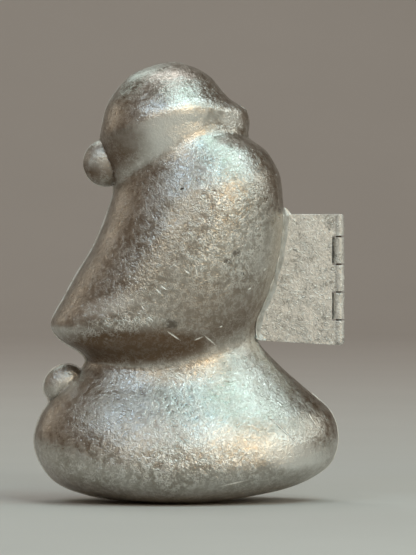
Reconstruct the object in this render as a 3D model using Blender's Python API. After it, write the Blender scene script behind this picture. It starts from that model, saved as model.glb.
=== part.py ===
"""A hinged two-part pewter ice cream mould in the shape of a plump seated figure on a cushion.

The mould stands upright as in use on a shelf: +Z is up, and the parting plane is the XZ plane.
The front half faces -Y, the back half +Y, and both turn about an upright hinge pin at +X.
All values are real sizes. MM turns a size in millimetres into Blender's metres.
"""

import math
from typing import NamedTuple

import bmesh
import bpy
import numpy as np
from mathutils import Matrix, Vector

MM = 0.001

# Figure
FIGURE_HEIGHT = 120.0 * MM
CUSHION_WIDTH = 83.2 * MM
CUSHION_DEPTH = 53.0 * MM   # of both halves together

# Casting
WALL = 2.4 * MM             # thickness of the cast wall
PARTING_GAP = 0.3 * MM      # air left between the two rims when the mould is shut
SEAT_GAP = 0.3 * MM         # air left between a leaf and the half that it is soldered to

# Bun at the back of the head, and the toe that peeps out over the cushion. Each is an egg with
# its middle at a stand-off outside a section's left end and a drop below it.
BUN_WIDTH = 12.3 * MM
BUN_HEIGHT = 12.8 * MM
BUN_DEPTH = 8.8 * MM
BUN_LEAN = 0.0              # degrees that its width leans down to the left
BUN_STAND_OFF = -0.2 * MM
BUN_DROP = 0.3 * MM
TOE_WIDTH = 11.6 * MM
TOE_HEIGHT = 9.9 * MM
TOE_DEPTH = 7.8 * MM
TOE_LEAN = 35.0
TOE_STAND_OFF = 1.7 * MM
TOE_DROP = 1.0 * MM
HOLLOW_REACH = 3.0 * MM     # how much wider a knob's hollow is, to open into the main cavity

# Hinge
HINGE_LENGTH = 36.0 * MM    # height of the whole barrel
HINGE_DROP = 1.8 * MM       # from the waist's right end down to the lower end of the hinge
LEAF_SLANT = 1.3 * MM       # how much higher the leaf's lower edge ends at the figure
AXIS_CLEARANCE = 0.25 * MM  # from the cushion's widest point out to the pin's axis
LEAF_THICKNESS = 1.05 * MM
BARREL_RADIUS = 1.6 * MM
LOWEST_KNUCKLE = 7.0 * MM   # height of the knuckle at the lower end
MIDDLE_KNUCKLE = 7.6 * MM   # height of each of the three knuckles between the end ones
KNUCKLES = 5
KNUCKLE_GAP = 0.3 * MM      # air between knuckles, and round a knuckle in the other leaf's notch
PIN_RADIUS = 0.75 * MM
PIN_PLAY = 0.28 * MM        # air round the pin in its bore
PIN_INSET = 0.2 * MM        # how far the pin's ends lie inside the barrel's ends

# Fineness of the facets
ROW_STEP = 3.6 * MM         # longest step between two rows of the loft
OUTER_SIDES = 36
INNER_SIDES = 28
BARREL_SIDES = 24
PIN_SIDES = 16


class Section(NamedTuple):
    """A cut across the figure, square to the parting plane, in millimetres as first drawn."""

    left: tuple             # its left end on the parting plane, as (x, z)
    right: tuple            # its right end
    depth: float            # from the parting plane to the swell of one half
    deepest: float = 0.5    # share of its width at which it swells furthest
    ridge: float = 0.0      # how far its right end stands out past the oval, as a narrow ridge
    lift: float = 0.0       # how far the swell lies above the line between the two ends


# The figure is lofted through these sections, from the flat it rests on up to the crown.
SECTIONS = {
    "rest": Section((-13.0, 0.0), (6.6, 0.0), 11.0),
    "heel": Section((-25.0, 1.5), (15.4, 1.4), 18.8),
    "underside": Section((-35.3, 4.8), (29.0, 4.5), 24.3),
    "lower_turn": Section((-40.4, 10.0), (38.2, 9.9), 26.5),
    "widest": Section((-42.5, 16.6), (40.7, 17.2), 25.2),
    "upper_turn": Section((-41.2, 22.6), (39.0, 24.0), 22.6),
    "slope": Section((-37.6, 28.3), (33.2, 29.7), 19.8, lift=-0.6),
    "crest": Section((-32.7, 33.3), (25.5, 36.4), 17.4, lift=-1.8),
    "waist": Section((-28.1, 38.4), (18.4, 44.4), 16.3, lift=-3.2),
    "tuck": Section((-30.5, 41.4), (18.4, 49.8), 17.4, lift=-4.2),
    "under_hem": Section((-34.9, 44.0), (20.9, 55.6), 19.2, lift=-5.2),
    "hem": Section((-38.1, 48.4), (23.3, 62.5), 20.7, lift=-4.8),
    "lap": Section((-34.9, 54.8), (24.9, 69.6), 21.5, lift=-2.8),
    "belly": Section((-30.7, 62.5), (25.6, 76.7), 21.9, 0.52, lift=-1.0),
    "chest": Section((-26.3, 69.8), (25.5, 83.2), 21.7, 0.54, lift=1.0),
    "breast": Section((-23.4, 76.4), (24.4, 89.8), 20.4, 0.55, lift=3.0),
    "shoulder": Section((-21.7, 81.6), (20.9, 95.8), 17.0, 0.54, lift=4.8),
    "neck": Section((-20.9, 86.6), (16.2, 99.4), 14.6, 0.50, 0.9, lift=5.8),
    "jaw": Section((-23.2, 92.8), (16.4, 103.2), 15.4, 0.48, 3.2, lift=5.0),
    "peak": Section((-24.5, 98.0), (15.5, 107.0), 16.6, 0.49, 3.2, lift=3.2),
    "brow": Section((-24.0, 103.2), (11.0, 110.0), 16.6, 0.50, 0.5, lift=1.4),
    "temple": Section((-22.6, 108.1), (8.3, 112.8), 15.0, lift=0.4),
    "forehead": Section((-20.0, 112.2), (5.8, 115.9), 12.5),
    "top": Section((-15.8, 116.6), (1.7, 118.4), 8.2),
    "crown": Section((-5.9, 120.0), (-5.9, 120.0), 0.0),
}
RIDGE_SHARPNESS = 8         # a higher power makes the ridge narrower


def outer_sections():
    """The sections at their real size, as rows in the order of the fields of Section."""
    widest = SECTIONS["widest"]
    wide = CUSHION_WIDTH / (widest.right[0] - widest.left[0])
    deep = CUSHION_DEPTH / (2 * max(cut.depth for cut in SECTIONS.values()))
    high = FIGURE_HEIGHT / SECTIONS["crown"].left[1]
    real = np.array([wide, high, wide, high, deep, 1, wide, high])
    rows = [[*cut.left, *cut.right, *cut[2:]] for cut in SECTIONS.values()]
    return np.array(rows) * real


def section_row(name):
    """One section at its real size, as a row."""
    return outer_sections()[list(SECTIONS).index(name)]


def past_the_crown(rows):
    """The section that follows the crown on its far side, so that the top comes out round."""
    left_x, left_z, right_x, right_z, depth, deepest, ridge, lift = rows[-2]
    return np.array([right_x, right_z, left_x, left_z, -depth, deepest, ridge, lift])


def inward(before, after, side):
    """The unit normal into the figure where its outline runs from before to after."""
    along = (after - before) / np.linalg.norm(after - before)
    return side * np.array([along[1], -along[0]])


def moved_inward(rows, distance):
    """The sections with both ends and the swell moved inward, or outward if it is negative."""
    framed = np.vstack([rows[0], rows, past_the_crown(rows)])
    moved = rows.copy()
    for index in range(len(rows)):
        before, after = framed[index], framed[index + 2]
        moved[index, 0:2] += distance * inward(before[0:2], after[0:2], 1)
        moved[index, 2:4] += distance * inward(before[2:4], after[2:4], -1)
        moved[index, 4] = max(rows[index, 4] - distance, 0.0)
    return moved


def flowing(rows):
    """Rows on a smooth curve through the sections, close enough together for the loft."""
    framed = np.vstack([rows[0], rows, past_the_crown(rows)])
    result = []
    for index in range(1, len(rows)):
        before, start, end, after = framed[index - 1:index + 3]
        span = np.linalg.norm(end - start)
        start_slope = (end - before) / (np.linalg.norm(start - before) + span)
        end_slope = (after - start) / (np.linalg.norm(after - end) + span)
        longest = max(np.linalg.norm((end - start)[0:2]), np.linalg.norm((end - start)[2:4]))
        steps = math.ceil(longest / ROW_STEP)
        for step in range(steps):
            t = step / steps
            result.append(
                (2 * t**3 - 3 * t**2 + 1) * start
                + (t**3 - 2 * t**2 + t) * span * start_slope
                + (3 * t**2 - 2 * t**3) * end
                + (t**3 - t**2) * span * end_slope
            )
    result.append(rows[-1])
    return np.array(result)


def ring_points(row, sides):
    """Points round one section: a soft oval, with its ridge drawn out at the right end."""
    left_x, left_z, right_x, right_z, depth, deepest, ridge, lift = row.tolist()
    left, right = Vector((left_x, 0, left_z)), Vector((right_x, 0, right_z))
    across = (right - left).normalized()
    oval = (right - left).length - ridge
    points = []
    for index in range(sides):
        angle = 2 * math.pi * index / sides
        half_turn = (1 - math.cos(angle)) / 2
        swell = math.sin(angle) ** 2
        along = oval * (half_turn + (deepest - 0.5) * swell) + ridge * half_turn**RIDGE_SHARPNESS
        points.append(left + along * across + Vector((0, -depth * math.sin(angle), lift * swell)))
    return points


def loft(name, rows, sides):
    """A closed skin through rings of points, flat below and drawn to one point at the crown."""
    bm = bmesh.new()
    rings = []
    for row in rows[:-1]:
        rings.append([bm.verts.new(point) for point in ring_points(row, sides)])
    for lower, upper in zip(rings, rings[1:]):
        for index in range(sides):
            following = (index + 1) % sides
            bm.faces.new((lower[index], lower[following], upper[following], upper[index]))
    crown = bm.verts.new((rows[-1, 0], 0, rows[-1, 1]))
    for index in range(sides):
        bm.faces.new((rings[-1][index], rings[-1][(index + 1) % sides], crown))
    bm.faces.new(rings[0])
    return object_from(bm, name)


def object_from(bm, name):
    """An object in no collection yet, with its faces pointing out."""
    bmesh.ops.recalc_face_normals(bm, faces=bm.faces)
    mesh = bpy.data.meshes.new(name)
    bm.to_mesh(mesh)
    bm.free()
    return bpy.data.objects.new(name, mesh)


def egg(name, centre, size, lean):
    """A ball stretched to a width, depth and height, then leant down to the left by degrees."""
    turn = Matrix.Rotation(math.radians(-lean), 4, "Y")
    place = Matrix.Translation(centre) @ turn @ Matrix.Diagonal((*size, 1))
    bm = bmesh.new()
    bmesh.ops.create_uvsphere(bm, u_segments=20, v_segments=12, radius=0.5, matrix=place)
    return object_from(bm, name)


def rod(name, start, end, radius, sides):
    """A round bar between two points."""
    along = end - start
    turn = along.to_track_quat("Z", "Y").to_matrix().to_4x4()
    bm = bmesh.new()
    bmesh.ops.create_cone(
        bm,
        cap_ends=True,
        segments=sides,
        radius1=radius,
        radius2=radius,
        depth=along.length,
        matrix=Matrix.Translation((start + end) / 2) @ turn,
    )
    return object_from(bm, name)


def box(name, low, high):
    size = high - low
    bm = bmesh.new()
    place = Matrix.Translation((low + high) / 2) @ Matrix.Diagonal((*size, 1))
    bmesh.ops.create_cube(bm, size=1, matrix=place)
    return object_from(bm, name)


def as_cutter(piece, cutters):
    """Keeps a shape that only cuts or joins others out of the model itself."""
    cutters.objects.link(piece)
    piece.hide_render = True
    piece.display_type = "WIRE"
    return piece


def combine(piece, other, operation):
    """Adds a Boolean with another object to a piece."""
    boolean = piece.modifiers.new(operation.lower() + "_" + other.name, "BOOLEAN")
    boolean.operation = operation
    boolean.object = other
    boolean.solver = "EXACT"


def finished_mesh(piece):
    """The mesh of a piece with its modifiers applied, worked out while it is in the scene."""
    scene = bpy.context.scene.collection
    if not piece.users_collection:
        scene.objects.link(piece)
    bpy.context.view_layer.update()
    seen = piece.evaluated_get(bpy.context.evaluated_depsgraph_get())
    mesh = bpy.data.meshes.new_from_object(seen)
    if piece.name in scene.objects:
        scene.objects.unlink(piece)
    return mesh


def smooth(mesh, angle):
    mesh.shade_smooth()
    mesh.set_sharp_from_angle(angle=math.radians(angle))


def material(name, colour, roughness, metallic):
    made = bpy.data.materials.new(name)
    made.use_nodes = True
    shader = made.node_tree.nodes["Principled BSDF"]
    shader.inputs["Base Color"].default_value = (*colour, 1)
    shader.inputs["Roughness"].default_value = roughness
    shader.inputs["Metallic"].default_value = metallic
    return made


def knobs():
    """The name, centre, size and lean of each knob on the figure's left outline."""
    result = []
    for name, section, stand_off, drop, size, lean in (
        ("bun", "jaw", BUN_STAND_OFF, BUN_DROP, (BUN_WIDTH, BUN_DEPTH, BUN_HEIGHT), BUN_LEAN),
        ("toe", "crest", TOE_STAND_OFF, TOE_DROP, (TOE_WIDTH, TOE_DEPTH, TOE_HEIGHT), TOE_LEAN),
    ):
        left_x, left_z = section_row(section)[0:2]
        centre = Vector((left_x - stand_off, 0, left_z - drop))
        result.append((name, centre, Vector(size), lean))
    return result


def mould_shell(cutters):
    """The whole hollow casting before it is parted in two."""
    outer = outer_sections()
    shell = as_cutter(loft("figure", flowing(outer), OUTER_SIDES), cutters)
    core = as_cutter(loft("core", flowing(moved_inward(outer, WALL)), INNER_SIDES), cutters)
    for name, centre, size, lean in knobs():
        combine(shell, as_cutter(egg(name, centre, size, lean), cutters), "UNION")
    combine(shell, core, "DIFFERENCE")
    for name, centre, size, lean in knobs():
        reach = Vector((HOLLOW_REACH, 0, 0))
        room = size - 2 * WALL * Vector((1, 1, 1)) + reach
        hollow = egg(name + "_hollow", centre + reach / 2, room, lean)
        combine(shell, as_cutter(hollow, cutters), "DIFFERENCE")
    return finished_mesh(shell)


def half_space(name, side, cutters):
    """All the space on one side of the parting plane; side is -1 in front and 1 behind."""
    reach = 2 * max(abs(value) for value in outer_sections()[:, 0:5].flat)
    near = side * PARTING_GAP / 2
    far = side * reach
    low = Vector((-reach, min(near, far), -reach))
    high = Vector((reach, max(near, far), reach))
    return as_cutter(box(name, low, high), cutters)


def half(name, side, shell_mesh, finish, cutters):
    """One half of the mould, cut from the whole shell at the parting plane."""
    piece = bpy.data.objects.new(name, shell_mesh.copy())
    combine(piece, half_space(name + "_space", side, cutters), "INTERSECT")
    mesh = finished_mesh(piece)
    piece.modifiers.clear()
    piece.data = mesh
    mesh.name = name
    mesh.materials.clear()
    mesh.materials.append(finish)
    smooth(mesh, 40)
    return piece


def hinge_axis_x():
    return outer_sections()[:, 2].max() + AXIS_CLEARANCE


def hinge_bottom():
    return section_row("waist")[3] - HINGE_DROP


def knuckle_spans():
    """The lower and upper end of each knuckle, from the bottom up, without the gaps."""
    heights = [LOWEST_KNUCKLE] + [MIDDLE_KNUCKLE] * (KNUCKLES - 2)
    heights.append(HINGE_LENGTH - sum(heights))
    spans = []
    low = hinge_bottom()
    for height in heights:
        spans.append((low, low + height))
        low += height
    return spans


def root_line():
    """The edge of a leaf that follows the figure's right outline, from the bottom up."""
    outline = flowing(moved_inward(outer_sections(), -SEAT_GAP))[:, 2:4]
    bottom, top = hinge_bottom() + LEAF_SLANT, hinge_bottom() + HINGE_LENGTH
    between = [tuple(point) for point in outline if bottom < point[1] < top]
    ends = [(np.interp(z, outline[:, 1], outline[:, 0]), z) for z in (bottom, top)]
    return [ends[0], *between, ends[1]]


def leaf_outline(own):
    """A leaf seen from the front: its root, then back down past its own knuckles."""
    axis = hinge_axis_x()
    notch = axis - BARREL_RADIUS - KNUCKLE_GAP
    points = root_line()
    spans = knuckle_spans()
    for index in reversed(range(KNUCKLES)):
        low, high = spans[index]
        half_gap = KNUCKLE_GAP / 2
        if index in own:
            top = high if index == KNUCKLES - 1 else high - half_gap
            bottom = low if index == 0 else low + half_gap
            points += [(axis, top), (axis, bottom)]
        else:
            top = high if index == KNUCKLES - 1 else high + half_gap
            bottom = low if index == 0 else low - half_gap
            points += [(notch, top), (notch, bottom)]
    return points


def plate(name, outline, near, far):
    """A flat plate with an outline in the XZ plane, between two distances along Y."""
    curve = bpy.data.curves.new(name, "CURVE")
    curve.dimensions = "2D"
    curve.fill_mode = "BOTH"
    curve.extrude = abs(far - near) / 2
    spline = curve.splines.new("POLY")
    spline.points.add(len(outline) - 1)
    for point, (x, z) in zip(spline.points, outline):
        point.co = (x, z, 0, 1)
    spline.use_cyclic_u = True
    drawn = bpy.data.objects.new(name, curve)
    mesh = finished_mesh(drawn)
    bpy.data.objects.remove(drawn)
    stand_up = Matrix.Translation((0, (near + far) / 2, 0)) @ Matrix.Rotation(math.pi / 2, 4, "X")
    mesh.transform(stand_up)
    bm = bmesh.new()
    bm.from_mesh(mesh)
    bmesh.ops.remove_doubles(bm, verts=bm.verts, dist=1e-6)
    return object_from(bm, name)


def leaf(name, side, own, finish, cutters):
    """One hinge leaf: a flat plate with its own knuckles, bored for the pin."""
    near = side * PARTING_GAP / 2
    far = near + side * LEAF_THICKNESS
    piece = plate(name, leaf_outline(own), near, far)
    axis = hinge_axis_x()
    spans = knuckle_spans()
    for index in own:
        low, high = spans[index]
        bottom = low if index == 0 else low + KNUCKLE_GAP / 2
        top = high if index == KNUCKLES - 1 else high - KNUCKLE_GAP / 2
        knuckle = rod(
            f"{name}_knuckle_{index + 1}",
            Vector((axis, 0, bottom)),
            Vector((axis, 0, top)),
            BARREL_RADIUS,
            BARREL_SIDES,
        )
        combine(piece, as_cutter(knuckle, cutters), "UNION")
    bore = rod(
        name + "_bore",
        Vector((axis, 0, hinge_bottom() - BARREL_RADIUS)),
        Vector((axis, 0, hinge_bottom() + HINGE_LENGTH + BARREL_RADIUS)),
        PIN_RADIUS + PIN_PLAY,
        PIN_SIDES,
    )
    combine(piece, as_cutter(bore, cutters), "DIFFERENCE")
    mesh = finished_mesh(piece)
    piece.modifiers.clear()
    piece.data = mesh
    mesh.name = name
    mesh.materials.clear()
    mesh.materials.append(finish)
    smooth(mesh, 16)
    return piece


def pin(name, finish):
    axis = hinge_axis_x()
    low = Vector((axis, 0, hinge_bottom() + PIN_INSET))
    high = Vector((axis, 0, hinge_bottom() + HINGE_LENGTH - PIN_INSET))
    piece = rod(name, low, high, PIN_RADIUS, PIN_SIDES)
    piece.data.materials.append(finish)
    smooth(piece.data, 30)
    return piece


def empty_scene():
    for thing in list(bpy.data.objects):
        bpy.data.objects.remove(thing)


def main():
    empty_scene()
    mould = bpy.data.collections.new("ice_cream_mould")
    cutters = bpy.data.collections.new("cutters")
    bpy.context.scene.collection.children.link(mould)
    bpy.context.scene.collection.children.link(cutters)

    pewter = material("pewter", (0.46, 0.42, 0.37), 0.42, 0.9)
    leaf_pewter = material("leaf_pewter", (0.56, 0.52, 0.46), 0.55, 0.85)
    pin_iron = material("pin_iron", (0.28, 0.25, 0.22), 0.5, 0.9)

    shell_mesh = mould_shell(cutters)
    back = [
        half("back_half", 1, shell_mesh, pewter, cutters),
        leaf("back_hinge_leaf", 1, (1, 3), leaf_pewter, cutters),
        pin("hinge_pin", pin_iron),
    ]
    front = [
        half("front_half", -1, shell_mesh, pewter, cutters),
        leaf("front_hinge_leaf", -1, (0, 2, 4), leaf_pewter, cutters),
    ]

    hinge = bpy.data.objects.new("hinge_axis", None)
    hinge.location = (hinge_axis_x(), 0, hinge_bottom() + HINGE_LENGTH / 2)
    mould.objects.link(hinge)
    for piece in back + front:
        mould.objects.link(piece)
    for piece in front:
        piece.parent = hinge
        piece.matrix_parent_inverse = Matrix.Translation(-hinge.location)


main()
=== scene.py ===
# %% [markdown]
# # A pewter ice cream mould
# The object is a cast pewter mould for one portion of ice cream, about 12 cm tall. Two hollow
# half shells close on a flat parting plane and open like a book on a hinge of five knuckles.
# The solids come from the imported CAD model. This lesson dresses them: it rounds the skin,
# wears the hinge, adds the solder and the flash, and paints the metal with procedural
# finishes.

import math

import bmesh
import bpy
import numpy as np
from mathutils import Matrix, Vector, noise
from mathutils.bvhtree import BVHTree


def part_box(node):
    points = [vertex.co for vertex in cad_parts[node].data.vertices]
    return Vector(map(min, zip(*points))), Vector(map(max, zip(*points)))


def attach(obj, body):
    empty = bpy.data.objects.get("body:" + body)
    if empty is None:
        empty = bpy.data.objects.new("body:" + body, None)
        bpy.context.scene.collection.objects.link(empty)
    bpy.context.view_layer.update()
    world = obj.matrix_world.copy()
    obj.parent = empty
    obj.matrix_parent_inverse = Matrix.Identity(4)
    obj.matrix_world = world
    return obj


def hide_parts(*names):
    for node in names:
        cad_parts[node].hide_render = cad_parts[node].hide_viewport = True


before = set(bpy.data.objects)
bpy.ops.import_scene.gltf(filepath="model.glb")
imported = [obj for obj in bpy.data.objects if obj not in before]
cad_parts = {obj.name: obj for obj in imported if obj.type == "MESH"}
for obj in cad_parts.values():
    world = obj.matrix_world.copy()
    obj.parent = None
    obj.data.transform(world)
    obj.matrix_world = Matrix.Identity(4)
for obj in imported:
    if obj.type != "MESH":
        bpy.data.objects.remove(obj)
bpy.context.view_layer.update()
print("CAD nodes:", sorted(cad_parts))

# %% [markdown]
# Blender works in metres, and a mould is easier to think of in millimetres, so one constant
# turns one into the other. The photograph is 416 by 555 pixels and shows the mould square on.
# Its crown is 439 pixels above its base, which gives the size of a pixel, and a small helper
# turns a place in the photograph into a place on the parting plane. The camera stood a few
# degrees to the left, so a place on the swollen front is found by looking along its view.

# %% Sizes and places
MM = 0.001
PHOTO_WIDTH, PHOTO_HEIGHT = 416, 555
PIXEL = 120.0 * MM / 439.0
MIDDLE_COLUMN = 189.7       # the pixel column of X = 0
BASE_ROW = 501.5            # the pixel row of Z = 0
RIM = 0.15 * MM             # how far each rim lies from the parting plane
CAMERA_TURN = math.radians(5)
CAMERA_RISE = math.radians(1)


def direction(turn, rise):
    """The way from the mould to something turned to its right and raised, in radians."""
    return Vector((
        math.sin(turn) * math.cos(rise),
        -math.cos(turn) * math.cos(rise),
        math.sin(rise),
    ))


def from_photo(column, row):
    """The place on the parting plane that a pixel of the photograph shows."""
    return Vector(((column - MIDDLE_COLUMN) * PIXEL, 0, (BASE_ROW - row) * PIXEL))


def merged_copy(node):
    """The mesh of a CAD node as one connected skin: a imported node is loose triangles."""
    bm = bmesh.new()
    bm.from_mesh(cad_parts[node].data)
    bmesh.ops.remove_doubles(bm, verts=bm.verts, dist=0.01 * MM)
    bmesh.ops.dissolve_degenerate(bm, edges=bm.edges, dist=0.02 * MM)
    return bm


def skin_tree(node):
    """The skin of a CAD node, ready for looking where a straight line meets it."""
    skin = merged_copy(node)
    tree = BVHTree.FromBMesh(skin)
    skin.free()
    return tree


front_skin = skin_tree("front_half")
towards_camera = direction(-CAMERA_TURN, CAMERA_RISE)


def on_the_front(column, row):
    """The place on the front half that a pixel of the photograph shows."""
    start = from_photo(column, row) + towards_camera
    return front_skin.ray_cast(start, -towards_camera)[0]


print("one pixel is", round(PIXEL / MM, 3), "mm")

# %% [markdown]
# Shader nodes are easier to read as sums. A Wire stands for one output socket, and adding or
# multiplying wires adds the Math nodes that do it. A Finish is one material: its node method
# adds any other kind of node.

# %% Shader helpers
class Wire:
    """One output of a shader node, used in sums as if it were a number."""

    def __init__(self, finish, socket):
        self.finish = finish
        self.socket = socket

    def __add__(self, other):
        return self.finish.maths("ADD", self, other)

    def __sub__(self, other):
        return self.finish.maths("SUBTRACT", self, other)

    def __rsub__(self, other):
        return self.finish.maths("SUBTRACT", other, self)

    def __mul__(self, other):
        return self.finish.maths("MULTIPLY", self, other)

    __radd__ = __add__
    __rmul__ = __mul__

    def step(self, low, high):
        """Rises smoothly from 0 at low to 1 at high."""
        return self.finish.node(
            "MapRange",
            {"interpolation_type": "SMOOTHSTEP"},
            {"Value": self, "From Min": low, "From Max": high},
        )

    def capped(self):
        return self.finish.maths("MINIMUM", self, 1)


class Finish:
    """A material under construction."""

    def __init__(self, name):
        self.material = bpy.data.materials.new(name)
        self.material.use_nodes = True
        self.tree = self.material.node_tree
        self.shader = self.tree.nodes["Principled BSDF"]
        self.place = self.node("TexCoord", output="Object")

    def node(self, kind, settings=None, inputs=None, output=0):
        made = self.tree.nodes.new("ShaderNode" + kind)
        for name, value in (settings or {}).items():
            setattr(made, name, value)
        for name, value in (inputs or {}).items():
            self.feed(made.inputs[name], value)
        return Wire(self, made.outputs[output])

    def feed(self, socket, value):
        if isinstance(value, Wire):
            self.tree.links.new(value.socket, socket)
        else:
            socket.default_value = value

    def maths(self, operation, first, second):
        return self.node("Math", {"operation": operation}, {0: first, 1: second})

    def mix(self, first, second, share):
        """A colour part of the way from the first colour to the second."""
        return self.node("Mix", {"data_type": "RGBA"}, {0: share, 6: first, 7: second}, 2)

    def noise(self, grain_size, detail=3, roughness=0.55, turn=0.0, curl=0.0):
        """Cloudy values round 0.5, whose spots are about grain_size across."""
        where = self.place
        if turn:
            turned = {"Vector": where, "Rotation": (turn, turn / 2, turn / 3)}
            where = self.node("Mapping", {"vector_type": "TEXTURE"}, turned)
        return self.node(
            "TexNoise",
            inputs={
                "Vector": where,
                "Scale": 1 / grain_size,
                "Detail": detail,
                "Roughness": roughness,
                "Distortion": curl,
            },
        )

    def threads(self, grain_size, width, turn):
        """Thin curling threads: the places where a curled noise is near its middle value."""
        field = self.noise(grain_size, 1, 0.5, turn, 1.4)
        return self.maths("ABSOLUTE", field - 0.5, 0).step(width, width * 0.15)

    def attribute(self, name):
        return self.node("Attribute", {"attribute_name": name}, output="Fac")

    def bump(self, height, distance, under=None):
        """A Normal for a surface that rises by distance where height is 1."""
        inputs = {"Height": height, "Distance": distance, "Strength": 1.0}
        if under is not None:
            inputs["Normal"] = under
        return self.node("Bump", inputs=inputs, output="Normal")

    def connect(self, **sockets):
        """Feeds the shader's own sockets, named with _ for a space."""
        for name, value in sockets.items():
            self.feed(self.shader.inputs[name.replace("_", " ")], value)
        return self.material


print("shader helpers ready")

# %% [markdown]
# ## The metal
# Old pewter is a soft tin alloy. A century of handling leaves it satin and grey, with curling
# threads of wear in every direction, small casting pits, and brown tarnish in the creases,
# where fingers don't reach. The same brown is painted on as shade under the hem, under the
# head, at the lower right of the body and on every face that turns down. Along the parting
# line it is partly tarnish and partly painted shade on the sides of the outline. A few swells
# get lighter metal that is partly rubbed wear and partly painted highlight. The finish starts
# from a few clean colours and mixes them with noise of several grain sizes. The attributes
# crevice, hollow, facing_up and inside are measured on the mesh further down.

# %% Colours of the metal
FRESH = (0.92, 0.91, 0.87, 1)
# lighter metal: rubbed wear, and painted highlight on a few swells
RUBBED_AND_HIGHLIGHT = (0.82, 0.81, 0.77, 1)
DULL = (0.38, 0.345, 0.29, 1)
BROWN = (0.16, 0.105, 0.066, 1)
GRIME = (0.050, 0.040, 0.030, 1)
LINING = (0.58, 0.57, 0.54, 1)

print("six colours, from freshly cut metal to grime")

# %% [markdown]
# Some marks in the photograph are big enough to see one by one: bright scratches, dark stains
# and two pits. Each is a mask in a long oval. A Mapping node in its Texture mode moves to the
# mark, turns along it and divides by its size, so the mark is where the length of the result
# is under 1. Noise added to that length frays the edge. Such small marks are on the front
# only. Wider ovals go through both halves. They say where the cast skin is coarse, where
# painted brown shade darkens the places under the hem, the lower body and the head, and
# which swells get lighter metal that is partly rubbed wear and partly painted highlight.

# %% Marks seen one by one
SCRATCHES = [
    # start, end in pixels of the photograph
    ((165.5, 329), (183, 341)),
    ((202, 333), (218, 346)),
    ((193, 340), (204, 335.5)),
    ((195, 263), (198.5, 280)),
    ((184, 269), (191, 274)),
    ((160, 284), (168.5, 290)),
    ((155, 287), (163, 294)),
    ((142, 304), (145, 309)),
    ((148, 315), (155, 321)),
    ((263, 271), (266.5, 267.5)),
    ((247, 290), (252, 287)),
    ((219, 327), (223, 325)),
    ((265, 412), (301, 446)),
    ((307, 411), (316, 426)),
    ((216, 484), (252, 476)),
]
SCRATCH_HALF_WIDTH = 1.15    # in pixels, as are all the places and sizes in this cell
STAINS = [
    # middle, half length, half height, turn in degrees
    ((236, 254.5), 6.8, 5.0, -20),
    ((228.5, 261), 6.2, 4.0, -25),
    ((171, 323), 8.0, 6.8, 0),
]
PITS = [((242.5, 274), 2.3, 1.8, 0), ((182, 190), 2.8, 1.2, -20)]
COARSE = [
    # the upper body, the hem and the front of the cushion
    ((228, 238), 62, 72, 0),
    ((120, 325), 60, 16, -12),
    ((190, 462), 150, 26, 0),
]
KNOBS = [
    # the bun behind the head and the toe over the cushion
    ((95, 165), 26, 26, 0),
    ((62, 381), 24, 24, 0),
]
SHADED = [
    # painted shade, in brown: under the hem, the lower body at the right, and under the head,
    # each with its strength
    (((135, 345), 125, 30, -3), 0.90),
    (((220, 310), 92, 56, 0), 0.55),
    (((108, 152), 62, 37, -35), 0.70),
]
HANDLED_AND_HIGHLIGHT = [
    # rubbed metal and painted highlight: the middle of the head, its front, the cushion's
    # right end and the hem
    ((172, 128), 52, 40, -20),
    ((232, 118), 18, 16, 0),
    ((292, 452), 46, 26, 15),
    ((104, 306), 44, 13, -14),
]


def mark(finish, middle, half_length, half_width, turn, fray=None):
    """1 inside a long oval seen from the front, falling to 0 at its edge."""
    where = finish.node(
        "Mapping",
        {"vector_type": "TEXTURE"},
        {
            "Vector": finish.place,
            "Location": on_the_front(*middle),
            "Rotation": (0, math.radians(turn), 0),
            "Scale": (half_length * PIXEL, 1, half_width * PIXEL),
        },
    )
    distance = finish.node("VectorMath", {"operation": "LENGTH"}, {0: where}, "Value")
    if fray is not None:
        distance = distance + fray
    return distance.step(1.0, 0.3)


def scratch(finish, start, end, fray):
    """A thin mark from one pixel to another."""
    middle = ((start[0] + end[0]) / 2, (start[1] + end[1]) / 2)
    across, down = end[0] - start[0], end[1] - start[1]
    turn = math.degrees(math.atan2(down, across))
    half_length = math.hypot(across, down) / 2
    return mark(finish, middle, half_length, SCRATCH_HALF_WIDTH, turn, fray)


def strongest(finish, masks):
    """Where any of the masks is, at its strongest."""
    result = masks[0]
    for mask in masks[1:]:
        result = finish.maths("MAXIMUM", result, mask)
    return result


print(len(SCRATCHES), "scratches,", len(STAINS), "stains and", len(PITS), "pits")
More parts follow.
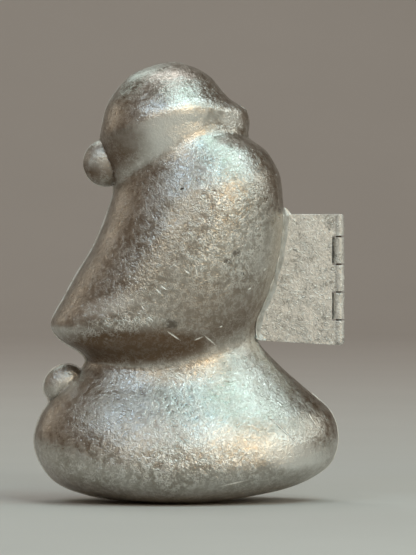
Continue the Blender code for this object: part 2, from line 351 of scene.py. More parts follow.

# %% [markdown]
# The pewter finish has four parts: the clouds of rubbed and dull metal with painted highlight
# on a few swells, the brown tarnish and grime with painted shade where faces turn down, the
# roughness, and the relief. The relief is what makes the metal sparkle: a curled grain of
# about a millimetre tilts the surface by a few degrees, so the soft lights break up into short
# bright strokes. The cast skin is coarser in some places than in others.

# %% The pewter of the two halves
def pewter_finish():
    finish = Finish("worn_pewter")
    crevice = finish.attribute("crevice")
    hollow = finish.attribute("hollow")
    inside = finish.attribute("inside").step(0.45, 0.55)
    outside = 1 - inside
    facing = finish.attribute("facing_up")
    # painted shade: every face that turns down is darkened towards brown
    under = (facing * -1).step(0.02, 0.5)
    across = finish.node("SeparateXYZ", inputs={0: finish.place}, output="Y")
    from_seam = finish.maths("ABSOLUTE", across, 0)
    on_front = across.step(0.2 * MM, -0.2 * MM) * outside

    clouds = finish.noise(21 * MM, 3)
    patches = finish.noise(6.5 * MM, 4, 0.6)
    mottle = finish.noise(1.9 * MM, 3, 0.6)
    grain = finish.noise(0.55 * MM, 2, 0.6)
    curls = finish.noise(1.4 * MM, 2, 0.5, 0.0, 1.6)
    threads = strongest(
        finish,
        [finish.threads(1.8 * MM, 0.08, 0.9), finish.threads(1.3 * MM, 0.075, 2.2)],
    )
    threads = threads * mottle.step(0.40, 0.56)
    uneven = (clouds - 0.5) * 1.2 + (patches - 0.5) * 0.8
    coarse = strongest(finish, [mark(finish, *place, uneven) for place in COARSE])
    knobs = strongest(finish, [mark(finish, *place) for place in KNOBS])
    # painted shade: the ovals of SHADED turn brown where their faces turn down
    shaded = [mark(finish, *place, uneven * 0.4) * strength for place, strength in SHADED]
    shaded = strongest(finish, shaded) * facing.step(0.20, -0.32)
    # rubbed wear and painted highlight: the swells of HANDLED_AND_HIGHLIGHT get lighter,
    # brighter metal
    handled_and_highlight = strongest(finish, [mark(finish, *place, uneven) for place in HANDLED_AND_HIGHLIGHT])
    dark_threads = finish.threads(1.2 * MM, 0.075, 4.0) * (0.25 + coarse * 0.75) * outside
    fray = (mottle - 0.5) * 1.6 + (grain - 0.5) * 0.8
    pits = strongest(finish, [mark(finish, *pit) for pit in PITS]) * on_front
    stains = strongest(finish, [mark(finish, *stain, fray) for stain in STAINS]) * on_front
    faint = grain - 0.5
    scratches = [scratch(finish, *ends, faint) for ends in SCRATCHES]
    scratches = strongest(finish, scratches) * on_front
    pores = finish.noise(0.7 * MM, 1, 0.5).step(0.27, 0.20)

    rubbed_and_highlight = (clouds * 0.6 + patches * 0.6 + mottle * 0.4 + grain * 0.4 - 0.5).step(0.05, 1.0)
    # the swells of HANDLED_AND_HIGHLIGHT are lightened here: partly rubbed wear, partly
    # painted highlight
    rubbed_and_highlight = (rubbed_and_highlight * (1 - coarse * 0.25) + handled_and_highlight * 0.8 + knobs * 0.4).capped()
    metal = finish.mix(DULL, RUBBED_AND_HIGHLIGHT, rubbed_and_highlight)
    # partly tarnish along the parting line, partly painted shade on the sides of the outline,
    # which turn away from the lights
    near_seam = from_seam.step(6.0 * MM, 0.4 * MM)
    # painted shade in the hollows whose faces turn down, such as the waist under the hem
    waist = hollow.step(0.0, 0.5) * facing.step(0.30, -0.15)
    tarnish_and_shade = (clouds + patches * 0.6 - 0.55).step(0.0, 1.0) * 0.20
    # the real tarnish of clouds and creases and the painted shade of near_seam, waist, under
    # and shaded are summed into one brown share
    tarnish_and_shade = tarnish_and_shade + near_seam * 0.25 + waist * 0.5 + under * 0.25 + shaded
    tarnish_and_shade = tarnish_and_shade + crevice.step(0.1, 0.7) * 0.4 - handled_and_highlight * 0.35
    tarnish_and_shade = tarnish_and_shade.capped() * outside
    aged = finish.mix(metal, BROWN, tarnish_and_shade)
    aged = finish.mix(aged, LINING, inside * 0.7)
    dirt = strongest(
        finish,
        [pits, stains * 0.62, pores * 0.30 * outside, dark_threads * 0.21],
    )
    dirty = finish.mix(aged, GRIME, dirt)
    threads_show = (0.35 + coarse * 0.60) * (1 - shaded * 0.85) * outside
    # the lightest metal: scratches and threads of wear, and painted highlight on the swells of
    # HANDLED_AND_HIGHLIGHT
    shiny = strongest(finish, [scratches, threads * threads_show, handled_and_highlight * 0.5 * outside])
    colour = finish.mix(dirty, FRESH, shiny)

    roughness = 0.24 + mottle * 0.08 + tarnish_and_shade * 0.14 + dirt * 0.2
    roughness = roughness + knobs * 0.10 + handled_and_highlight * 0.15
    waves = finish.bump(patches * 0.5 + mottle * 0.5, 0.20 * MM)
    relief = curls * 0.9 + grain * 0.35 + threads * 0.25 - pores * 0.5
    relief = relief * (0.75 + coarse * 0.80 + knobs * 0.3) - scratches * 0.8 - pits * 1.5
    fine = finish.bump(relief * (0.15 + outside * 0.85), 0.17 * MM, waves)
    return finish.connect(
        Base_Color=colour,
        Roughness=roughness,
        Metallic=1 - tarnish_and_shade * 0.25 - scratches * 0.55,
        Normal=fine,
    )


pewter = pewter_finish()
print("pewter has", len(pewter.node_tree.nodes), "nodes")

# %% [markdown]
# The hinge leaves are the same metal, but paler and drier: they were cast or rolled flat,
# soldered on, and never polished. They show cream mottling over grey, small pits and fine
# dark threads, and their edges are rubbed bright.

# %% The pewter of the hinge
def leaf_finish():
    finish = Finish("dry_pewter")
    edge = finish.attribute("edge")
    patches = finish.noise(4.0 * MM, 4, 0.65)
    mottle = finish.noise(1.1 * MM, 3, 0.65)
    grain = finish.noise(0.45 * MM, 2, 0.6)
    threads = finish.threads(2.4 * MM, 0.05, 1.3) * mottle.step(0.42, 0.6)
    pores = finish.noise(0.6 * MM, 1, 0.5).step(0.31, 0.23)
    cream = (patches * 1.1 + mottle * 0.8 + grain * 0.5 - 0.70).step(0.05, 0.95)
    metal = finish.mix((0.58, 0.57, 0.545, 1), (0.96, 0.93, 0.885, 1), cream)
    worn = finish.mix(metal, FRESH, strongest(finish, [threads * 0.6, edge * 0.8]))
    dark_threads = finish.threads(3.2 * MM, 0.035, 3.1) * patches.step(0.6, 0.45)
    colour = finish.mix(worn, GRIME, strongest(finish, [pores * 0.4, dark_threads * 0.45]))
    coarse = finish.bump(patches, 0.14 * MM)
    relief = grain * 0.5 + mottle * 0.8 + threads * 0.5 - pores * 0.8
    return finish.connect(
        Base_Color=colour,
        Roughness=0.42 + mottle * 0.16 + edge * 0.1,
        Metallic=0.85,
        Normal=finish.bump(relief, 0.19 * MM, coarse),
    )


dry_pewter = leaf_finish()
print("the hinge's pewter has", len(dry_pewter.node_tree.nodes), "nodes")

# %% [markdown]
# Solder is nearly pure tin. It froze in soft bright lumps, and has dulled less than the
# casting. The flash along the seam was scraped with a knife, which leaves a rough pale
# surface that scatters light instead of mirroring it. The pin is iron wire, dark with a thin
# skin of rust.

# %% Solder, scraped flash and pin
def solder_finish():
    finish = Finish("solder")
    patches = finish.noise(2.2 * MM, 3, 0.6)
    grain = finish.noise(0.4 * MM, 2, 0.6)
    dull = (patches * 1.4 + grain * 0.4 - 0.5).step(0.1, 0.9)
    colour = finish.mix((0.76, 0.77, 0.75, 1), (0.46, 0.445, 0.41, 1), dull)
    return finish.connect(
        Base_Color=colour,
        Roughness=0.34 + grain * 0.2,
        Metallic=0.95,
        Normal=finish.bump(patches * 0.6 + grain * 0.4, 0.07 * MM),
    )


def scraped_finish():
    finish = Finish("scraped_flash")
    patches = finish.noise(3.0 * MM, 3, 0.6)
    grain = finish.noise(0.4 * MM, 2, 0.6)
    worn = (patches * 1.3 + grain * 0.5 - 0.55).step(0.15, 0.75)
    colour = finish.mix((0.93, 0.91, 0.86, 1), (0.50, 0.46, 0.39, 1), worn * 0.7)
    return finish.connect(
        Base_Color=colour,
        Roughness=0.50 + grain * 0.2,
        Metallic=0.15 + worn * 0.6,
        Normal=finish.bump(grain, 0.05 * MM),
    )


def iron_finish():
    finish = Finish("pin_iron_wire")
    patches = finish.noise(1.6 * MM, 4, 0.65)
    drawn = finish.noise(0.25 * MM, 2, 0.5)
    rust = (patches * 1.5 - 0.25).step(0.3, 0.8)
    colour = finish.mix((0.20, 0.19, 0.18, 1), (0.16, 0.075, 0.035, 1), rust)
    return finish.connect(
        Base_Color=colour,
        Roughness=0.42 + rust * 0.3,
        Metallic=1 - rust * 0.6,
        Normal=finish.bump(patches * 0.5 + drawn * 0.4, 0.04 * MM),
    )


solder_metal = solder_finish()
scraped_metal = scraped_finish()
iron = iron_finish()
print("solder, scraped metal and iron ready")

# %% [markdown]
# ## Mesh helpers
# A finished mesh becomes an object at the origin and rides on its body. Modifiers are turned
# into the mesh itself, so that its points can be measured. The solder and the flash are made
# alike: one ring of edges is extruded along a path, both open ends are closed, and
# subdivision rounds the whole.

# %% Finished pieces
def make_object(bm, name):
    mesh = bpy.data.meshes.new(name)
    bm.to_mesh(mesh)
    bm.free()
    if "custom_normal" in mesh.attributes:
        mesh.attributes.remove(mesh.attributes["custom_normal"])
    piece = bpy.data.objects.new(name, mesh)
    bpy.context.scene.collection.objects.link(piece)
    return piece


def push(bm, edges, step=(0, 0, 0)):
    """Extrudes edges, moves the copies by a step, and returns their points and edges."""
    made = bmesh.ops.extrude_edge_only(bm, edges=edges)["geom"]
    points = [part for part in made if isinstance(part, bmesh.types.BMVert)]
    bmesh.ops.translate(bm, verts=points, vec=step)
    return points, [part for part in made if isinstance(part, bmesh.types.BMEdge)]


def close_ends(bm):
    bmesh.ops.holes_fill(bm, edges=[edge for edge in bm.edges if edge.is_boundary], sides=0)
    bmesh.ops.recalc_face_normals(bm, faces=bm.faces)


def subdivide(piece):
    rounder = piece.modifiers.new("rounder", "SUBSURF")
    rounder.levels = 2
    rounder.render_levels = 2


def modified_mesh(piece):
    """A new mesh: that of a piece with its modifiers applied."""
    bpy.context.view_layer.update()
    seen = piece.evaluated_get(bpy.context.evaluated_depsgraph_get())
    return bpy.data.meshes.new_from_object(seen)


def bake_modifiers(piece):
    """Turns the result of a piece's modifiers into its mesh, and returns its points."""
    mesh = modified_mesh(piece)
    piece.modifiers.clear()
    piece.data = mesh
    return read_points(mesh)


def read_points(mesh):
    flat = np.empty(len(mesh.vertices) * 3)
    mesh.vertices.foreach_get("co", flat)
    return flat.reshape(-1, 3)


def read_normals(mesh):
    flat = np.empty(len(mesh.vertices) * 3)
    mesh.vertex_normals.foreach_get("vector", flat)
    return flat.reshape(-1, 3)


def noise_at(points, size):
    """Noise at each point, from -1 to 1, whose swells are about size across."""
    return np.array([noise.noise(Vector(point) / size) for point in points])


def dress(piece, body, material, node=None):
    """Gives a piece its finish and body, and hides the CAD node that it stands for."""
    piece.data.materials.clear()
    piece.data.materials.append(material)
    piece.data.shade_smooth()
    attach(piece, body)
    if node:
        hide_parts(node)
    triangles = sum(len(face.vertices) - 2 for face in piece.data.polygons)
    print(piece.name, "has", triangles, "triangles")


print("mesh helpers ready")

# %% [markdown]
# ## The two half shells
# The CAD halves are lofts with flat facets. Subdivision makes the skin round again, but it
# would also round off the rim, where the halves meet in a crisp edge, so the rim's edges are
# creased. The wall has an outer and an inner skin that only the rim joins. Walking over the
# faces without crossing the rim tells one from the other, and the inside attribute keeps it.

# %% Rim, inner skin and creases
RIM_CREASE = 0.85


def on_rim(point):
    return abs(abs(point.y) - RIM) < 0.01 * MM


def is_rim_edge(edge):
    """Whether an edge of a half is the sharp turn between its rim and a skin."""
    turn = edge.calc_face_angle(0)
    return all(on_rim(vert.co) for vert in edge.verts) and turn > math.radians(50)


def mark_inner_skin(bm, rim):
    """Stores 1 on the points of the inner skin in a layer called inside."""
    layer = bm.verts.layers.float.new("inside")
    waiting = {face for face in bm.faces if face not in rim}
    skins = []
    while waiting:
        skin, edge_of_skin = set(), [waiting.pop()]
        while edge_of_skin:
            face = edge_of_skin.pop()
            skin.add(face)
            for edge in face.edges:
                for neighbour in edge.link_faces:
                    if neighbour in waiting:
                        waiting.discard(neighbour)
                        edge_of_skin.append(neighbour)
        skins.append(skin)
    outer = max(skins, key=lambda skin: max(abs(v.co.y) for face in skin for v in face.verts))
    for skin in skins:
        if skin is not outer:
            for face in skin:
                for vert in face.verts:
                    vert[layer] = 1
    return len(skins)


def shell_base(node):
    """A half of the CAD model as a coarse cage: quads where they fit, and a creased rim."""
    bm = merged_copy(node)
    rim = {face for face in bm.faces if all(on_rim(vert.co) for vert in face.verts)}
    skins = mark_inner_skin(bm, rim)
    bmesh.ops.join_triangles(
        bm,
        faces=[face for face in bm.faces if face not in rim],
        angle_face_threshold=math.radians(25),
        angle_shape_threshold=math.radians(60),
    )
    crease = bm.edges.layers.float.new("crease_edge")
    for edge in bm.edges:
        if is_rim_edge(edge):
            edge[crease] = RIM_CREASE
    print(node, "has", skins, "skins and", len(bm.faces), "faces")
    return bm


shell_bases = {name: shell_base(name) for name in ("front_half", "back_half")}

# %% [markdown]
# A casting is never quite true, and soft metal takes dents. Noise moves each point a tenth of
# a millimetre or so along its normal, which is enough to make the reflections wander. It
# fades out towards the rim, so the halves still close. Smoothing a copy of the points shows
# where the skin is hollow: a point in a crease lies below its smoothed place. On the coarse
# skin that finds the wide hollows, such as the waist, and on the fine skin the creases.
# Subdivision also pulls a skin in a little. So the coarse points are moved out by as much as
# the rounded skin falls short of them, a few times over. The middle of the head is lifted a
# little, because its highlight in the photograph is that of a rounder head.

# %% Dents and crevices
DENT_SIZES = ((11.0 * MM, 0.16 * MM), (4.5 * MM, 0.06 * MM))
CALM_RIM = 3.0 * MM
CREVICE_ROUNDS = 40
CREVICE_DEPTH = 0.9 * MM
HOLLOW_ROUNDS = 30
HOLLOW_DEPTH = 2.0 * MM
FIT_ROUNDS = 3
HEAD_MIDDLE = (156, 136)    # in pixels of the photograph
HEAD_HALF_WIDTH = 13 * MM
HEAD_HALF_HEIGHT = 6.5 * MM
HEAD_RISE = 1.3 * MM


def dent(points, normals, calm):
    """Moves each point along its normal by the noise of each dent size."""
    for size, depth in DENT_SIZES:
        points = points + normals * (noise_at(points, size) * depth * calm)[:, None]
    return points


def smoothed(mesh, points, rounds):
    """The points after each has moved to the middle of its neighbours, several times."""
    ends = np.empty(len(mesh.edges) * 2, dtype=int)
    mesh.edges.foreach_get("vertices", ends)
    first, second = ends.reshape(-1, 2).T
    count = np.bincount(ends, minlength=len(points))[:, None]
    result = points.copy()
    for _ in range(rounds):
        total = np.zeros_like(result)
        np.add.at(total, first, result[second])
        np.add.at(total, second, result[first])
        result = (result + total / count) / 2
    return result


def read_values(mesh, name):
    """The numbers that a mesh keeps for its points under a name."""
    values = np.empty(len(mesh.vertices))
    mesh.attributes[name].data.foreach_get("value", values)
    return values


def store(mesh, name, values):
    """Keeps one number for each point of a mesh, for the finish to read."""
    mesh.attributes.new(name, "FLOAT", "POINT").data.foreach_set("value", values)


def fit_cage(piece):
    """Moves the coarse points until the rounded skin passes through the CAD model's points."""
    cage = piece.data
    wanted = read_points(cage)
    for _ in range(FIT_ROUNDS):
        rounded = modified_mesh(piece)
        reached = read_points(rounded)[:len(wanted)]
        bpy.data.meshes.remove(rounded)
        cage.vertices.foreach_set("co", (read_points(cage) + wanted - reached).ravel())
        cage.update()


def fill_head(points, normals):
    """Lifts the middle of the head a little, so that its curve is as even as a ball's."""
    middle = from_photo(*HEAD_MIDDLE)
    across = (points[:, 0] - middle.x) / HEAD_HALF_WIDTH
    up = (points[:, 2] - middle.z) / HEAD_HALF_HEIGHT
    rise = HEAD_RISE * np.exp(-(across**2) - up**2) * abs(normals[:, 1])
    return points + normals * rise[:, None]


def shell(name, node, body):
    """A half of the mould, rounded, dented and measured for its finish."""
    piece = make_object(shell_bases[node], name)
    cage, points = piece.data, read_points(piece.data)
    sunk = (smoothed(cage, points, HOLLOW_ROUNDS) - points) * read_normals(cage)
    store(cage, "hollow", sunk.sum(axis=1) / HOLLOW_DEPTH)
    subdivide(piece)
    fit_cage(piece)
    points = bake_modifiers(piece)
    mesh = piece.data
    normals = read_normals(mesh)
    calm = np.clip((abs(points[:, 1]) - RIM) / CALM_RIM, 0, 1)
    outer = calm * (1 - read_values(mesh, "inside"))
    points = dent(fill_head(points, normals * outer[:, None]), normals, calm)
    mesh.vertices.foreach_set("co", points.ravel())
    sunk = (smoothed(mesh, points, CREVICE_ROUNDS) - points) * normals
    store(mesh, "crevice", sunk.sum(axis=1) / CREVICE_DEPTH)
    store(mesh, "facing_up", np.ascontiguousarray(normals[:, 2]))
    mesh.update()
    dress(piece, body, pewter, node)


for half in ("front", "back"):
    shell(half + "_shell", half + "_half", half)

# %% [markdown]
# ## The hinge leaves
# Each leaf is a plate whose edge carries its knuckles, with the metal worn soft at every
# corner. Rounding each edge by hand would be slow where knuckle and plate run into each
# other. A voxel remesh of the copy followed by a few rounds of smoothing does it in one go,
# and gives enough points for small dents.

# %% Leaves
VOXEL = 0.17 * MM
LEAF_DENTS = ((3.2 * MM, 0.07 * MM), (1.2 * MM, 0.03 * MM))
EDGE_ROUNDS = 14
EDGE_DEPTH = 0.16 * MM
CORNER = 1.3 * MM           # how far the wear of an outer corner reaches


def worn_corners(points):
    """Draws in the upper and lower corners on the barrel's side."""
    right = points[:, 0].max()
    middle = (points[:, 2].max() + points[:, 2].min()) / 2
    half_height = (points[:, 2].max() - points[:, 2].min()) / 2
    beside = np.clip(1 - (right - points[:, 0]) / CORNER, 0, 1)
    beyond = np.clip(1 - (half_height - abs(points[:, 2] - middle)) / CORNER, 0, 1)
    points[:, 2] -= np.sign(points[:, 2] - middle) * beside**2 * beyond * 0.7 * CORNER
    return points


def leaf(name, node, body):
    """A hinge leaf with its knuckles, worn soft and slightly dented."""
    piece = make_object(merged_copy(node), name)
    remesh = piece.modifiers.new("even_quads", "REMESH")
    remesh.mode = "VOXEL"
    remesh.voxel_size = VOXEL
    soften = piece.modifiers.new("soften", "SMOOTH")
    soften.factor = 0.5
    soften.iterations = 3
    points = bake_modifiers(piece)
    mesh = piece.data
    normals = read_normals(mesh)
    sunk = (points - smoothed(mesh, points, EDGE_ROUNDS)) * normals
    store(mesh, "edge", np.clip(sunk.sum(axis=1) / EDGE_DEPTH, 0, 1))
    for size, depth in LEAF_DENTS:
        points = points + normals * ((noise_at(points, size) - 0.5) * depth)[:, None]
    mesh.vertices.foreach_set("co", worn_corners(points).ravel())
    mesh.update()
    dress(piece, body, dry_pewter, node)


for half in ("front", "back"):
    leaf(half + "_leaf", half + "_hinge_leaf", half)

# %% [markdown]
# ## The solder
# A leaf is held to its half by solder that ran into the corner between them and froze with a
# hollow face. Its cut has three kinds of points: a quarter arc that leaves the body's wall
# and runs out on the leaf, and two corners hidden underneath. One ring of that shape is
# extruded from place to place up the root, a little wider or narrower each time. The root's
# places come from the CAD leaf: at each height, the point of the leaf nearest the figure.
# The solder ran down before it set, so the lowest rings are fat and lumpy.

# %% Solder in the corner of each leaf
FILLET_STEP = 0.7 * MM
FILLET_REACH = 2.3 * MM     # how far it runs out on the leaf, and up the body's wall
FILLET_TOP = 2.2 * MM       # how far it climbs above the leaf
ARC_POINTS = 7
ARC_RADIUS = 1.12           # of its hollow face, as a share of its reach
BURIED = 0.4                # how far its back runs on under the body's wall, the same way
DRIP = 3.5 * MM             # height of the fat and lumpy stretch at its low end
LEAF_FACE = 1.2 * MM        # from the parting plane to the outer face of a leaf
HIDDEN_FACE = 0.4 * MM      # from the parting plane to the solder's back


def root_places(node):
    """Points up the root of a leaf, on its outer face, and on above its upper corner."""
    low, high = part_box(node)
    tree = skin_tree(node)
    wall = skin_tree(node.replace("hinge_leaf", "half"))
    side = -1 if node.startswith("front") else 1
    places = []
    for z in np.arange(low.z + 1.4 * MM, high.z + FILLET_TOP, FILLET_STEP):
        start = Vector((low.x - FILLET_STEP, side * LEAF_FACE / 2, min(z, high.z - RIM)))
        root = tree.ray_cast(start, Vector((1, 0, 0)))[0].x
        if z > high.z:
            start = Vector((high.x, side * LEAF_FACE / 2, z))
            root = wall.ray_cast(start, Vector((-1, 0, 0)))[0].x
        places.append(Vector((root, side * LEAF_FACE, z)))
    return places, high.z


def fillet_shape():
    """The solder's cut as (out along the leaf, off the leaf), for a reach of 1."""
    shape = []
    for index in range(ARC_POINTS):
        angle = math.pi * (1 + 0.5 * index / (ARC_POINTS - 1))
        out, off = ARC_RADIUS * math.cos(angle), ARC_RADIUS * math.sin(angle)
        shape.append((1 + out, 1 + off))
    return [(-BURIED, 1.1)] + shape


def fillet(name, node, body):
    """The solder between a leaf and its half."""
    places, leaf_top = root_places(node)
    side = math.copysign(1, places[0].y)
    shape = fillet_shape()
    bm = bmesh.new()
    bmesh.ops.create_circle(bm, cap_ends=False, segments=len(shape) + 2, radius=1)
    ring = list(bm.verts)
    edges = list(bm.edges)
    for index, place in enumerate(places):
        if index:
            ring, edges = push(bm, edges)
        low_end = max(0, 1 - (place.z - places[0].z) / DRIP)
        above = min(1, max(0, (place.z - leaf_top) / FILLET_TOP))
        lump = noise.noise(place / (2.6 * MM))
        size = FILLET_REACH * (0.85 + 0.35 * lump + 0.45 * low_end) * (1 - 0.8 * above)
        corners = [(out * size, off * size + LEAF_FACE) for out, off in shape]
        corners += [(shape[-1][0] * size, HIDDEN_FACE), (-BURIED * size, HIDDEN_FACE)]
        for vert, (out, off) in zip(ring, corners):
            vert.co = Vector((place.x + out, side * off, place.z))
    close_ends(bm)
    piece = make_object(bm, name)
    subdivide(piece)
    points = bake_modifiers(piece)
    low_end = np.clip(1 - (points[:, 2] - points[:, 2].min()) / (4 * MM), 0, 1)
    rise = noise_at(points, 1.3 * MM) * (0.05 + 0.22 * low_end) * MM
    points = points + read_normals(piece.data) * rise[:, None]
    piece.data.vertices.foreach_set("co", points.ravel())
    dress(piece, body, solder_metal)


for half in ("front", "back"):
    fillet(half + "_solder", half + "_hinge_leaf", half)

# %% [markdown]
# ## The flash line
# The two halves of the moulding box never meet quite true, and the metal that ran into the
# parting line was only scraped off. What is left is a thin ridge along the back half's rim.
# It is pale, because the scraping left it rough. It runs from the crown down the figure's
# left side, where the photograph shows it, and on under the base, where it is filed flat.
# Its path is the CAD rim's sharp outer edge, walked from point to point, and a small ring is
# extruded along that path.

# %% The ridge of flash on the back half
FLASH_HIGH = 0.48 * MM      # how far it stands proud of the outline
FLASH_WIDE = 0.50 * MM
FLASH_FRONT = 0.05 * MM     # its front side, in the middle of the gap between the halves
FLASH_STEP = 0.6 * MM
FLASH_END = 30 * MM         # its height on the right side, where it stops
FLASH_THIN = 80 * MM        # it is finer above this height, round the head


def rim_line(node):
    """The outer edge of a half's rim, from the crown down its left side and back up."""
    skin = merged_copy(node)
    edges = {edge for edge in skin.edges if is_rim_edge(edge)}
    vert = max((end for edge in edges for end in edge.verts), key=lambda end: end.co.z)
    choices = [edge for edge in vert.link_edges if edge in edges]
    edge = min(choices, key=lambda choice: choice.other_vert(vert).co.x)
    line = [vert.co.copy()]
    while edge:
        edges.discard(edge)
        vert = edge.other_vert(vert)
        if (vert.co - line[-1]).length > FLASH_STEP:
            line.append(vert.co.copy())
        ahead = [choice for choice in vert.link_edges if choice in edges]
        edge = ahead[0] if ahead else None
    skin.free()
    return line


def flash(name, node, body):
    """A ridge along a half's rim, thick and thin by turns, that ends in points."""
    line = rim_line(node)
    low = min(range(len(line)), key=lambda index: line[index].z)
    stop = next(i for i in range(low, len(line)) if line[i].z > FLASH_END)
    bm = bmesh.new()
    bmesh.ops.create_circle(bm, cap_ends=False, segments=8, radius=1)
    ring = list(bm.verts)
    shape = [vert.co.copy() for vert in ring]
    edges = list(bm.edges)
    for index in range(1, stop):
        if index > 1:
            ring, edges = push(bm, edges)
        along = (line[index + 1] - line[index - 1]).normalized()
        outward = Vector((along.z, 0, -along.x))
        share = index / stop
        size = 0.85 + 0.5 * noise.noise(line[index] / (7 * MM))
        size *= 0.5 if line[index].z > FLASH_THIN else 1
        size *= min(1, share / 0.05 + 0.02, (1.02 - share) / 0.05)
        for vert, corner in zip(ring, shape):
            depth = FLASH_FRONT + (corner.y + 1) * FLASH_WIDE / 2
            off = outward * (corner.x * FLASH_HIGH * size)
            height = max(0, line[index].z + off.z)
            vert.co = Vector((line[index].x + off.x, depth, height))
    close_ends(bm)
    piece = make_object(bm, name)
    subdivide(piece)
    bake_modifiers(piece)
    dress(piece, body, scraped_metal)


flash("back_flash", "back_half", "back")

# %% [markdown]
# ## The pin
# The pin is a plain wire, cut off and tapped over so that it stays in. Seen end on, it is a
# small dome in each end of the barrel. A cone tool with equal radii makes the wire, and a
# bevel round its two end faces makes the domes.

# %% Hinge pin
def wire_pin():
    low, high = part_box("hinge_pin")
    middle = (low + high) / 2
    radius = (high.x - low.x) / 2
    bm = bmesh.new()
    bmesh.ops.create_cone(
        bm,
        cap_ends=True,
        segments=32,
        radius1=radius,
        radius2=radius,
        depth=high.z - low.z,
        matrix=Matrix.Translation(middle),
    )
    ends = [edge for edge in bm.edges if abs(edge.verts[0].co.z - edge.verts[1].co.z) < RIM]
    bmesh.ops.bevel(
        bm,
        geom=ends,
        offset=radius * 0.6,
        segments=4,
        profile=0.5,
        affect="EDGES",
        material=-1,
    )
    piece = make_object(bm, "wire_pin")
    dress(piece, "back", iron, "hinge_pin")


wire_pin()

# %% [markdown]
# ## The studio
# The mould stands on a plain pale sweep: one edge is extruded over the floor, spun up
# through a quarter turn and extruded up the wall, so no corner shows behind the object.

# %% Floor and backdrop
SWEEP_WIDTH = 6.0
FLOOR_FRONT = 3.0
FLOOR_BACK = 1.6
FLOOR_DROP = 0.02 * MM      # how far it lies below the foot, so that the two don't coincide
SWEEP_RADIUS = 0.8
WALL_HEIGHT = 2.5


def sweep():
    """The floor that curves up into a backdrop."""
    bm = bmesh.new()
    left = bm.verts.new((-SWEEP_WIDTH / 2, -FLOOR_FRONT, -FLOOR_DROP))
    right = bm.verts.new((SWEEP_WIDTH / 2, -FLOOR_FRONT, -FLOOR_DROP))
    edge = [bm.edges.new((left, right))]
    edge = push(bm, edge, (0, FLOOR_FRONT + FLOOR_BACK, 0))[1]
    turned = bmesh.ops.spin(
        bm,
        geom=edge,
        cent=(0, FLOOR_BACK, SWEEP_RADIUS),
        axis=(1, 0, 0),
        angle=math.pi / 2,
        steps=24,
    )["geom_last"]
    edge = [part for part in turned if isinstance(part, bmesh.types.BMEdge)]
    push(bm, edge, (0, 0, WALL_HEIGHT))
    piece = make_object(bm, "floor")
    piece.data.shade_smooth()
    finish = Finish("pale_sweep")
    tone = finish.noise(0.09, 3)
    fibre = finish.noise(0.8 * MM, 2)
    piece.data.materials.append(
        finish.connect(
            Base_Color=finish.mix((0.60, 0.585, 0.56, 1), (0.64, 0.625, 0.60, 1), tone),
            Roughness=0.85,
            Normal=finish.bump(fibre, 0.02 * MM),
        )
    )


sweep()
print("the sweep is", SWEEP_WIDTH, "m wide")

# %% [markdown]
# The photograph shows soft daylight from above, a little to the right. Each swell of the
# metal carries a broad pale highlight, two small bluish ones below it and a small warm one
# lowest. Where the CAD surface would mirror each highlight gives the direction of its light.
# Each is a round area light. The last two stand behind the mould and are for its back half
# alone. Two more light the wall and the floor, and a weak warm room fills the rest.

# %% Lights
AIM = Vector((0, 0, 0.06))
LIGHT_DISTANCE = 0.9
LIGHTS = {
    # name: turn to the right, height in degrees, width in metres, watts, colour
    "window": (45, 57, 0.40, 0.75, (0.66, 1.0, 0.95)),
    "high_right": (70, 50, 0.30, 0.75, (0.78, 0.95, 1.0)),
    "white_wall": (57, 24, 0.30, 0.55, (0.74, 0.98, 1.0)),
    "sky_right": (12, 44, 0.13, 0.46, (0.42, 0.80, 1.0)),
    "sky_left": (-36, 42, 0.13, 0.46, (0.56, 0.78, 1.0)),
    "lamp": (30, 19, 0.12, 0.46, (1.0, 0.78, 0.52)),
    "middle_right": (20, 30, 0.30, 0.46, (1.0, 0.97, 0.82)),
    "middle_left": (-22, 22, 0.30, 0.46, (1.0, 0.95, 0.80)),
    "low_right": (38, 8, 0.35, 0.50, (1.0, 0.80, 0.54)),
    "right": (85, 20, 0.35, 0.50, (0.96, 1.0, 0.92)),
    "left": (-60, 45, 0.30, 0.26, (0.86, 0.97, 1.0)),
    "top": (20, 78, 0.35, 0.60, (0.80, 1.0, 1.0)),
    "behind": (200, 42, 0.40, 0.50, (0.80, 1.0, 0.98)),
    "low_behind": (238, 20, 0.30, 0.17, (1.0, 0.90, 0.76)),
}
ROOM_LIGHTS = {
    # name: place, the way it shines, width in metres, watts
    "wall_light": ((0, 0.6, 1.6), (0, 0.75, -0.65), 1.2, 9.0),
    "floor_light": ((0.1, -0.8, 0.6), (0, 0, -1), 0.5, 0.7),
}
ROOM_COLOUR = (1.0, 0.72, 0.50, 1)
ROOM_STRENGTH = 0.14


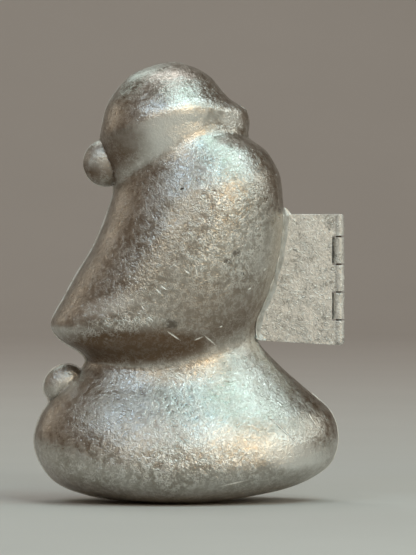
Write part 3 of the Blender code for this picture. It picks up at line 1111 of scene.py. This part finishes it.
def soft_light(name, turn, rise, size, power, colour):
    """A round soft light some way from the mould, aimed at its middle."""
    lamp = bpy.data.lights.new(name, "AREA")
    lamp.shape = "DISK"
    lamp.size = size
    lamp.energy = power
    lamp.color = colour
    holder = bpy.data.objects.new(name, lamp)
    bpy.context.scene.collection.objects.link(holder)
    away = direction(math.radians(turn), math.radians(rise))
    holder.location = AIM + away * LIGHT_DISTANCE
    holder.rotation_euler = away.to_track_quat("Z", "Y").to_euler()
    return holder


for name, values in LIGHTS.items():
    soft_light(name, *values)


def room_light(name, place, towards, size, power):
    """A soft white light at a place of its own, for the floor or the wall."""
    holder = soft_light(name, 0, 0, size, power, (1.0, 0.98, 0.95))
    holder.location = place
    holder.rotation_euler = Vector(towards).to_track_quat("-Z", "Y").to_euler()
    return holder


for name, values in ROOM_LIGHTS.items():
    room_light(name, *values)

world = bpy.data.worlds.new("room")
bpy.context.scene.world = world
world.use_nodes = True
room = world.node_tree.nodes["Background"]
room.inputs["Color"].default_value = ROOM_COLOUR
room.inputs["Strength"].default_value = ROOM_STRENGTH
print(len(LIGHTS) + len(ROOM_LIGHTS), "soft lights and a weak room")

# %% [markdown]
# The camera stands square to the front half, a few degrees to the left, where the thin bright
# line of the seam shows along the left side. A long lens from far away keeps the outline
# nearly free of perspective. The view is as tall as the photograph's 555 pixels.

# %% Camera
CAMERA_DISTANCE = 1.5


def photo_camera():
    """A long lens whose view has the photograph's scale at the mould."""
    lens = bpy.data.cameras.new("camera")
    lens.sensor_fit = "VERTICAL"
    lens.sensor_height = 24
    view_height = PHOTO_HEIGHT * PIXEL
    lens.lens = lens.sensor_height * CAMERA_DISTANCE / view_height
    lens.clip_start = 0.05
    lens.clip_end = 20
    target = from_photo(PHOTO_WIDTH / 2, PHOTO_HEIGHT / 2)
    holder = bpy.data.objects.new("camera", lens)
    bpy.context.scene.collection.objects.link(holder)
    holder.location = target + towards_camera * CAMERA_DISTANCE
    holder.rotation_euler = towards_camera.to_track_quat("Z", "Y").to_euler()
    bpy.context.scene.camera = holder
    return holder


camera = photo_camera()
bpy.context.scene.view_settings.view_transform = "Standard"
print("camera at", [round(value, 3) for value in camera.location])
